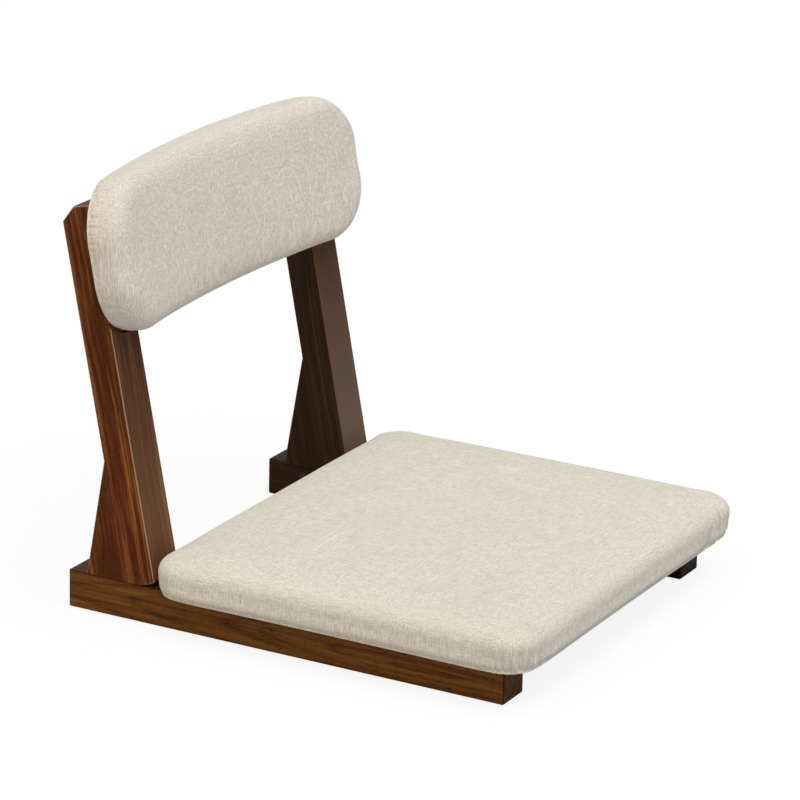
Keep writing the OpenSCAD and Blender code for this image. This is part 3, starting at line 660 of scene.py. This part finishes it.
def add(tree, kind, links=None, out=0, stops=None, **settings):
    """Adds a node with its settings; links gives its inputs a value or another node's output."""
    made = tree.nodes.new("ShaderNode" + kind)
    for key, value in settings.items():
        setattr(made, key, value)
    for key, value in (links or {}).items():
        if isinstance(value, bpy.types.NodeSocket):
            tree.links.new(value, made.inputs[key])
        else:
            made.inputs[key].default_value = value
    if stops:
        ramp = made.color_ramp
        while len(ramp.elements) < len(stops):
            ramp.elements.new(1.0)
        for element, (at, colour) in zip(ramp.elements, stops):
            element.position, element.color = at, colour
    return made.outputs[out] if made.outputs else None


def new_finish(name):
    """Empty material and its node tree."""
    finish = bpy.data.materials.new(name)
    finish.use_nodes = True
    finish.node_tree.nodes.clear()
    return finish, finish.node_tree


def grey(level):
    """Linear grey of a level from 0 to 1."""
    return (level, level, level, 1.0)


def per_mm(sizes):
    """How many grains of the given sizes, in millimetres, a millimetre holds along each axis."""
    return tuple(1 / s for s in sizes)


# Walnut's grain in millimetres: a year's ring, how far the rings wander, and the sizes of wander, bands,
# streaks, fibres and pores, twice across and once along the board. Real pores are about 0.2 mm wide; they
# and the fibres are drawn coarser, so that they show.
RING_W, WANDER_REACH = 5.0, 13.0
WANDER, BANDS, STREAKS = (55, 55, 260), (4, 4, 170), (4, 4, 280)
FIBRES, PORES, WOOD_RELIEF = (0.9, 0.9, 40), (0.7, 0.7, 9), 0.12
# The rings' widths vary: how often in a year's ring, and by how many rings
UNEVEN_RATE, UNEVEN_REACH = 0.45, 2.2
# How dark the wood is through a year, from early to late
YEAR_STOPS = ((0.0, 0.25), (0.12, 0.0), (0.6, 0.28), (0.88, 1.0), (1.0, 0.25))
PORE_COLOUR, END_COLOUR = "#1d1008", "#1f1712"
# Heights along a post, from its middle, between which its front face goes from a painted sheen low down
# to painted shade from the pad high up
FRONT_LOW, FRONT_HIGH = -130.0, 60.0

# Linen's yarn and slubs in millimetres, width and length, its faint patches and its relief. Real yarn is
# about 0.5 mm wide; it is drawn a little coarser, so that the weave shows.
YARN_W, YARN_L, SLUB_W, SLUB_L = 0.8, 12.0, 1.7, 60.0
PATCH_W, CLOTH_RELIEF = 50.0, 0.3


def walnut(name, middle, grain, heart, tilt, rings, colours, amber_share, shift):
    """Walnut, planed, sanded and oiled: growth rings about a heart beside the board, dark late wood,
    amber streaks, long fibres with open pores, a low satin sheen, edges of their own tone, paler for
    rubbed wear with a painted highlight and darker for painted shade, and a front face with a painted
    sheen low down and painted shade high up.

    middle is the board's middle in the chair, grain the turn that lays Z along its fibres, and the
    heart lies beside the middle and leans by tilt. rings is how strongly the late wood shows, and
    amber_share how strongly the streaks do; colours are those of dark and middle wood, streaks, edges
    (paler for rubbed wear with a painted highlight, darker for painted shade), and the front face low
    down, a painted sheen, and high up, painted shade from the pad. shift says where in the tree the
    board was cut.
    """
    dark, mid, amber, rim, front, upper_front_painted_shade = colours
    finish, t = new_finish(name)
    local = add(t, "TexCoord", out="Object")
    place = tuple(c * MM for c in middle)
    board = add(t, "Mapping", {"Vector": local, "Location": place, "Rotation": grain}, vector_type="TEXTURE")
    mm = add(t, "VectorMath", {0: board, "Scale": 1 / MM}, operation="SCALE")
    moved = add(t, "VectorMath", {0: mm, 1: (shift, shift * 0.7, shift * 3.1)}, operation="ADD")
    long_scale = add(t, "VectorMath", {0: moved, 1: per_mm(WANDER)}, operation="MULTIPLY")
    wander = add(t, "TexNoise", {"Vector": long_scale, "Scale": 1.0, "Detail": 1.0}, out="Color")
    centred = add(t, "VectorMath", {0: wander, 1: (0.5, 0.5, 0.5)}, operation="SUBTRACT")
    pushed = add(t, "VectorMath", {0: centred, 1: (WANDER_REACH, WANDER_REACH, 0.0)}, operation="MULTIPLY")
    warped = add(t, "VectorMath", {0: mm, 1: pushed}, operation="ADD")
    log = add(t, "Mapping", {"Vector": warped, "Location": (-heart[0], -heart[1], 0), "Rotation": (*tilt, 0)})
    flat = add(t, "VectorMath", {0: log, 1: (1, 1, 0)}, operation="MULTIPLY")
    radius = add(t, "VectorMath", {0: flat}, out="Value", operation="LENGTH")
    years = add(t, "Math", {0: radius, 1: 1 / RING_W}, operation="MULTIPLY")
    uneven = add(t, "TexNoise", {"W": years, "Scale": UNEVEN_RATE, "Detail": 1.0}, noise_dimensions="1D")
    years = add(t, "Math", {0: uneven, 1: UNEVEN_REACH, 2: years}, operation="MULTIPLY_ADD")
    year = add(t, "Math", {0: years}, operation="FRACT")
    late = add(t, "ValToRGB", {0: year}, stops=[(at, grey(level)) for at, level in YEAR_STOPS])
    band_scale = add(t, "VectorMath", {0: warped, 1: per_mm(BANDS)}, operation="MULTIPLY")
    bands = add(t, "TexNoise", {"Vector": band_scale, "Scale": 1.0, "Detail": 4.0, "Roughness": 0.6})
    fibre_scale = add(t, "VectorMath", {0: moved, 1: per_mm(FIBRES)}, operation="MULTIPLY")
    fibres = add(t, "TexNoise", {"Vector": fibre_scale, "Scale": 1.0, "Detail": 3.0, "Roughness": 0.7})
    pore_scale = add(t, "VectorMath", {0: moved, 1: per_mm(PORES)}, operation="MULTIPLY")
    specks = add(t, "TexNoise", {"Vector": pore_scale, "Scale": 1.0, "Detail": 1.0})
    pores = add(t, "MapRange", {"Value": specks, "From Min": 0.62, "From Max": 0.72})
    tone = add(t, "Math", {0: late, 1: -rings, 2: bands}, operation="MULTIPLY_ADD")
    tone = add(t, "Math", {0: fibres, 1: 0.4, 2: tone}, operation="MULTIPLY_ADD")
    tones = [(0.2, linear(dark)), (0.62, linear(mid)), (0.95, linear(amber))]
    plain = add(t, "ValToRGB", {0: tone}, stops=tones)
    streak_scale = add(t, "VectorMath", {0: warped, 1: per_mm(STREAKS)}, operation="MULTIPLY")
    streaks = add(t, "TexNoise", {"Vector": streak_scale, "Scale": 1.0, "Detail": 2.0})
    streaks = add(t, "MapRange", {"Value": streaks, "From Min": 0.58, "From Max": 0.7, "To Max": amber_share})
    wood = add(t, "Mix", {0: streaks, 6: plain, 7: linear(amber)}, out=2, data_type="RGBA")
    pored = add(t, "Mix", {0: pores, 6: wood, 7: linear(PORE_COLOUR)}, out=2, data_type="RGBA")
    normal = add(t, "TexCoord", out="Normal")
    facing = add(t, "Mapping", {"Vector": normal, "Rotation": grain}, vector_type="TEXTURE")
    apart = add(t, "SeparateXYZ", {0: facing})
    square = add(t, "Math", {0: apart, 1: apart}, operation="MULTIPLY")
    rest = add(t, "Math", {0: 1.0, 1: square}, operation="SUBTRACT")
    edge = add(t, "Math", {0: square, 1: rest}, operation="MULTIPLY")
    # Faces that look ahead take painted light: a painted sheen low down and painted shade from the pad high
    # up
    ahead = add(t, "Math", {0: apart.node.outputs["Y"], 1: -1.0}, operation="MULTIPLY")
    ahead = add(t, "MapRange", {"Value": ahead, "From Min": 0.75, "From Max": 0.98, "To Max": 0.56})
    along = add(t, "SeparateXYZ", {0: mm}).node.outputs["Z"]
    upper = add(t, "MapRange", {"Value": along, "From Min": FRONT_LOW, "From Max": FRONT_HIGH})
    painted_sheen_and_shade = add(t, "Mix", {0: upper, 6: linear(front), 7: linear(upper_front_painted_shade)}, out=2, data_type="RGBA")
    faced = add(t, "Mix", {0: ahead, 6: pored, 7: painted_sheen_and_shade}, out=2, data_type="RGBA")
    # Roundovers take the edge tone: rubbed wear with a painted highlight on the posts, painted shade on the
    # rails and stretchers
    edge_wear_and_painted_light = add(t, "Math", {0: edge, 1: 4.0}, operation="MULTIPLY")
    worn = add(t, "Mix", {0: edge_wear_and_painted_light, 6: faced, 7: linear(rim)}, out=2, data_type="RGBA")
    end = add(t, "Math", {0: apart.node.outputs["Z"]}, operation="ABSOLUTE")
    end = add(t, "MapRange", {"Value": end, "From Min": 0.6, "From Max": 0.9, "To Max": 0.4})
    colour = add(t, "Mix", {0: end, 6: worn, 7: linear(END_COLOUR)}, out=2, data_type="RGBA")
    rough = add(t, "MapRange", {"Value": fibres, "From Min": 0.3, "From Max": 0.7,
                                "To Min": 0.34, "To Max": 0.48})
    relief = add(t, "Math", {0: pores, 1: -0.8, 2: fibres}, operation="MULTIPLY_ADD")
    bump = add(t, "Bump", {"Strength": 0.35, "Distance": WOOD_RELIEF * MM, "Height": relief})
    shader = add(t, "BsdfPrincipled", {"Base Color": colour, "Roughness": rough, "Normal": bump,
                                       "Specular IOR Level": 0.12})
    add(t, "OutputMaterial", {0: shader})
    return finish


def linen(name, base, pale, deep, weights, slub_axes):
    """Linen-look upholstery cloth, plain woven from slubby heathered yarn: fine grain along both
    threads, thicker pale slubs along the given axes, and a soft dry sheen.

    weights says how strongly the threads along X, Y and Z show. slub_axes gives the axes that slubs run
    along, each with the noise level that they start at: the higher, the fewer.
    """
    finish, t = new_finish(name)
    local = add(t, "TexCoord", out="Object")
    mm = add(t, "VectorMath", {0: local, "Scale": 1 / MM}, operation="SCALE")
    total = slub = 0.0
    for axis, weight in enumerate(weights):
        yarn = [YARN_L if k == axis else YARN_W for k in range(3)]
        yarn_scale = add(t, "VectorMath", {0: mm, 1: per_mm(yarn)}, operation="MULTIPLY")
        grain = add(t, "TexNoise", {"Vector": yarn_scale, "Scale": 1.0, "Detail": 2.0, "Roughness": 0.6})
        total = add(t, "Math", {0: grain, 1: weight, 2: total}, operation="MULTIPLY_ADD")
    for axis, least in slub_axes:
        thick = [SLUB_L if k == axis else SLUB_W for k in range(3)]
        slub_scale = add(t, "VectorMath", {0: mm, 1: per_mm(thick)}, operation="MULTIPLY")
        lumps = add(t, "TexNoise", {"Vector": slub_scale, "Scale": 1.0, "Detail": 1.0})
        line = add(t, "MapRange", {"Value": lumps, "From Min": least, "From Max": least + 0.05})
        slub = add(t, "Math", {0: slub, 1: line}, operation="MAXIMUM")
    even, contrast = sum(weights) / 2, 0.38
    heather = add(t, "MapRange", {"Value": total, "From Min": even - contrast, "From Max": even + contrast})
    tones = [(0.15, linear(deep)), (0.5, linear(base)), (0.85, linear(pale))]
    cloth = add(t, "ValToRGB", {0: heather}, stops=tones)
    patches = add(t, "TexNoise", {"Vector": mm, "Scale": 1 / PATCH_W, "Detail": 3.0})
    shade = add(t, "MapRange", {"Value": patches, "From Min": 0.3, "From Max": 0.7, "To Max": 0.15})
    cloth = add(t, "Mix", {0: shade, 6: cloth, 7: linear(deep)}, out=2, data_type="RGBA")
    thread = add(t, "Math", {0: slub, 1: 0.8}, operation="MULTIPLY")
    colour = add(t, "Mix", {0: thread, 6: cloth, 7: linear(pale)}, out=2, data_type="RGBA")
    relief = add(t, "Math", {0: slub, 1: 0.6, 2: total}, operation="MULTIPLY_ADD")
    bump = add(t, "Bump", {"Strength": 0.35, "Distance": CLOTH_RELIEF * MM, "Height": relief})
    shader = add(t, "BsdfPrincipled", {"Base Color": colour, "Roughness": 0.92, "Normal": bump,
                                       "Specular IOR Level": 0.2, "Sheen Weight": 0.15,
                                       "Sheen Roughness": 0.6})
    add(t, "OutputMaterial", {0: shader})
    return finish


def speckled(name, base, fleck, grain_mm, roughness, metallic, relief_mm, stretch=(1, 1, 1)):
    """Even finish with fine flecks of a second tone and a light relief, such as felt or plating.

    grain_mm is the flecks' size, stretch how much longer they are along each axis.
    """
    finish, t = new_finish(name)
    local = add(t, "TexCoord", out="Object")
    grains_in_metre = tuple(1 / MM / grain_mm / s for s in stretch)
    grain_scale = add(t, "VectorMath", {0: local, 1: grains_in_metre}, operation="MULTIPLY")
    grain = add(t, "TexNoise", {"Vector": grain_scale, "Scale": 1.0, "Detail": 4.0, "Roughness": 0.6})
    colour = add(t, "ValToRGB", {0: grain}, stops=[(0.3, linear(base)), (0.7, linear(fleck))])
    rough = add(t, "MapRange", {"Value": grain, "From Min": 0.3, "From Max": 0.7,
                                "To Min": roughness - 0.06, "To Max": roughness + 0.06})
    bump = add(t, "Bump", {"Strength": 0.5, "Distance": relief_mm * MM, "Height": grain})
    shader = add(t, "BsdfPrincipled", {"Base Color": colour, "Roughness": rough, "Metallic": metallic,
                                       "Normal": bump})
    add(t, "OutputMaterial", {0: shader})
    return finish


# Turns that lay a board's Z along its fibres, and the boards' middles
UP_POSTS, ALONG_RAILS, ACROSS = (-LEAN, 0, 0), (-math.pi / 2, 0, 0), (0, math.pi / 2, 0)
LEFT_POST_MID, RIGHT_POST_MID = (177, 182, 210), (-177, 182, 210)
LEFT_RAIL_MID, RIGHT_RAIL_MID = (178.5, 13, 19.5), (-178.5, 13, 19.5)
FRONT_MID, REAR_MID = (0, -131, 23.5), (0, 92, 23.5)
STRETCHER_TONES = ("#27150a", "#49290f", "#66421d", "#24160b", "#49290f", "#49290f")

# Walnut of each board: the near ones redder and paler, the far post and rail darker as painted shade
# on their shaded faces, and the stretchers dark
WOOD = {
    "right_post": walnut("walnut_oiled_right_post", RIGHT_POST_MID, UP_POSTS, (34, 50), (0.02, -0.03), 0.1,
                         ("#361403", "#582807", "#9a6028", "#ab8c70", "#6e533a", "#331a0a"), 0.6, 3),
    "left_post": walnut("walnut_oiled_left_post", LEFT_POST_MID, UP_POSTS, (-40, 48), (-0.02, 0.02), 0.1,
                        ("#24130a", "#2e1c0a", "#4c3118", "#6c5039", "#80695a", "#5a3420"), 0.2, 61),
    "right_rail": walnut("walnut_oiled_right_rail", RIGHT_RAIL_MID, ALONG_RAILS, (-30.5, 2), (0, 0.08), 0.26,
                         ("#381d08", "#6c4214", "#8a5b26", "#24160b", "#2e2620", "#2e2620"), 0.3, 27),
    "left_rail": walnut("walnut_oiled_left_rail", LEFT_RAIL_MID, ALONG_RAILS, (-25, 44), (0.01, -0.02), 0.2,
                        ("#1d0f05", "#321f0c", "#4c3217", "#20140a", "#2e2620", "#2e2620"), 0.2, 83),
    "front_stretcher": walnut("walnut_oiled_front_stretcher", FRONT_MID, ACROSS, (18, -44), (0.02, 0.01), 0.2,
                              STRETCHER_TONES, 0.3, 45),
    "rear_stretcher": walnut("walnut_oiled_rear_stretcher", REAR_MID, ACROSS, (-30, 36), (0.01, 0.02), 0.2,
                             STRETCHER_TONES, 0.3, 19),
}

# Cover cloth of seat and pad: the seat's slubs are few, the pad's mostly run up it
LINEN_SEAT = linen("linen_woven_seat", "#d8d4c5", "#ece9de", "#c1bba9", (0.8, 0.8, 1.2),
                   [(0, 0.7), (1, 0.7), (2, 0.67)])
LINEN_PAD = linen("linen_woven_pad", "#dad4c6", "#f1ede2", "#c2baab", (0.6, 0.4, 1.3), [(0, 0.7), (2, 0.645)])

HARDWARE = {
    # Birch plywood, sanded: pale veneers with fine flecks along the grain
    "plywood": speckled("birch_plywood_sanded", "#c3a06c", "#d9bd8c", 1.2, 0.65, 0.0, 0.05, (1, 18, 1)),
    # Beech dowel rod, turned: short dark rays
    "beech": speckled("beech_turned", "#cfa97a", "#dfc096", 0.8, 0.55, 0.0, 0.03, (9, 1, 1)),
    # Polypropylene fleece, spun and pressed: dull, with a tangle of fibres
    "dust_cloth": speckled("fleece_spunbonded", "#1b1a18", "#34322e", 1.0, 0.95, 0.0, 0.15),
    # Wool felt, pressed: dull and woolly
    "felt": speckled("wool_felt_pressed", "#2d2a27", "#4a4540", 0.8, 0.97, 0.0, 0.25),
    # Steel, powder coated black: fine orange peel and a low satin gloss
    "black_steel": speckled("steel_powder_coated", "#1f1c1a", "#2a2624", 0.7, 0.45, 0.0, 0.04),
    # Steel, bright zinc plated: bluish, slightly clouded
    "zinc_steel": speckled("steel_zinc_plated", "#a9abac", "#bfc1c0", 3.0, 0.32, 1.0, 0.01),
    # Nylon, moulded: milky and waxy
    "nylon": speckled("nylon_moulded", "#dcdad0", "#e9e7df", 2.5, 0.4, 0.0, 0.01),
}


def dressed(board, node, body):
    """Puts a board in the place of its plain node, in its own walnut."""
    board.data.materials.append(WOOD[node])
    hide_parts(node)
    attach(board, body)


# Wooden boards in place of the plain ones
for node, side in (("right_rail", -1), ("left_rail", 1)):
    dressed(rail(node, side), node, "base")
for node, front in STRETCHER_FRONTS.items():
    dressed(stretcher(node, front), node, "base")
for node, side in (("right_post", -1), ("left_post", 1)):
    dressed(post(node, side), node, "backrest")

# Cushions
seat_form = Cushion(SEAT_HALF_W, SEAT_HALF_L, SEAT_H, SEAT_CROWN, SEAT_EDGE_R, SEAT_TURN_R, SEAT_CORNER_R,
                    (64, 130, 110))
seat = upholstered("seat_cushion", seat_form, on_seat, seat_folds(seat_form), (3.0, 48.0, 30.0), 2.5)
seat.data.materials.append(LINEN_SEAT)
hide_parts("seat_cover", "seat_foam")
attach(seat, "base")

pad_form = Cushion(PAD_HALF_W, PAD_HALF_H, PAD_T, PAD_CROWN, PAD_EDGE_R, PAD_TURN_R, PAD_CORNER_R,
                   (84, 130, 32))
pad = upholstered("back_pad", pad_form, on_pad, pad_folds(pad_form), (1.2, 60.0, 24.0), 1.5)
pad.data.materials.append(LINEN_PAD)
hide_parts("back_cover", "back_foam")
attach(pad, "backrest")

# The part's own nodes take their slot's finish
for part in frame["record"]["subparts"]:
    piece = frame["nodes"][part["node"]]
    if not piece.hide_render:
        piece.data.materials.clear()
        plug = part["node"] == "pivot_plugs"
        piece.data.materials.append(WOOD["left_post"] if plug else HARDWARE[part["material_slot"]])

# Floor, light and camera

# Paper floor, half its width in metres: matt white, and nearly all the camera's own white, so that only
# the chair's soft shadow shows on it
FLOOR_HALF = 30.0
floor_mesh = bpy.data.meshes.new("floor")
corners = [(x * FLOOR_HALF, y * FLOOR_HALF, 0) for x, y in ((-1, -1), (1, -1), (1, 1), (-1, 1))]
floor_mesh.from_pydata(corners, [], [(0, 1, 2, 3)])
floor = made_object("floor", floor_mesh)
floor_paint, tree = new_finish("floor_paper_white")
path = add(tree, "LightPath", out="Is Camera Ray")
paper = add(tree, "Mix", {0: path, 6: grey(0.45), 7: grey(1.0)}, out=2, data_type="RGBA")
diffuse = add(tree, "BsdfDiffuse", {"Color": paper})
lit_white = add(tree, "Emission", {"Color": grey(1.0), "Strength": 1.0})
faded = add(tree, "Math", {0: path, 1: 0.88}, operation="MULTIPLY")
add(tree, "OutputMaterial", {0: add(tree, "MixShader", {0: faded, 1: diffuse, 2: lit_white})})
floor.data.materials.append(floor_paint)

# White studio: the camera sees it plain white, and the chair gets less than half of that light
world = bpy.data.worlds.new("studio")
world.use_nodes = True
bpy.context.scene.world = world
tree = world.node_tree
tree.nodes.clear()
rays = add(tree, "LightPath", out="Is Camera Ray")
level = add(tree, "MapRange", {"Value": rays, "To Min": 0.45, "To Max": 1.0})
add(tree, "OutputWorld", {0: add(tree, "Background", {"Color": grey(1.0), "Strength": level})})


def soft_light(name, azimuth, elevation, strength, width, colour):
    """Broad studio light from one direction; azimuth, elevation and width are in degrees."""
    lamp = bpy.data.lights.new(name, "SUN")
    lamp.energy, lamp.angle, lamp.color = strength, math.radians(width), linear(colour)[:3]
    made = made_object(name, lamp)
    a, e = math.radians(azimuth), math.radians(elevation)
    towards = Vector((math.sin(a) * math.cos(e), -math.cos(a) * math.cos(e), math.sin(e)))
    made.rotation_mode = "QUATERNION"
    made.rotation_quaternion = towards.to_track_quat("Z", "Y")


# A broad white light above, a warm one from the left and a weak cool one in front
soft_light("overhead", -30, 68, 1.75, 50, "#ffffff")
soft_light("left_side", -95, 34, 0.55, 50, "#ffd8a4")
soft_light("front", 10, 15, 0.16, 60, "#e6edf6")

# Camera as fitted to the photo, its azimuth measured from the chair's front
CAMERA_AZIMUTH, CAMERA_ELEVATION, CAMERA_ROLL = (math.radians(a) for a in (-61.567, 18.628, 1.331))
CAMERA_DISTANCE, CAMERA_AIM = 3.9286, Vector((0, 0.0052, 0.1852))
CAMERA_FOCAL_PX, PICTURE_PX, SENSOR_MM = 4314.2, 800, 36.0
lens = bpy.data.cameras.new("camera")
lens.sensor_width = SENSOR_MM
lens.lens = SENSOR_MM * CAMERA_FOCAL_PX / PICTURE_PX
lens.clip_end = 200
camera = made_object("camera", lens)
back = Vector((math.sin(CAMERA_AZIMUTH) * math.cos(CAMERA_ELEVATION),
               -math.cos(CAMERA_AZIMUTH) * math.cos(CAMERA_ELEVATION), math.sin(CAMERA_ELEVATION)))
camera.rotation_mode = "QUATERNION"
level_view = back.to_track_quat("Z", "Y")
camera.rotation_quaternion = level_view @ Matrix.Rotation(CAMERA_ROLL, 3, "Z").to_quaternion()
camera.location = CAMERA_AIM + back * CAMERA_DISTANCE
bpy.context.scene.camera = camera
bpy.context.scene.view_settings.view_transform = "Standard"
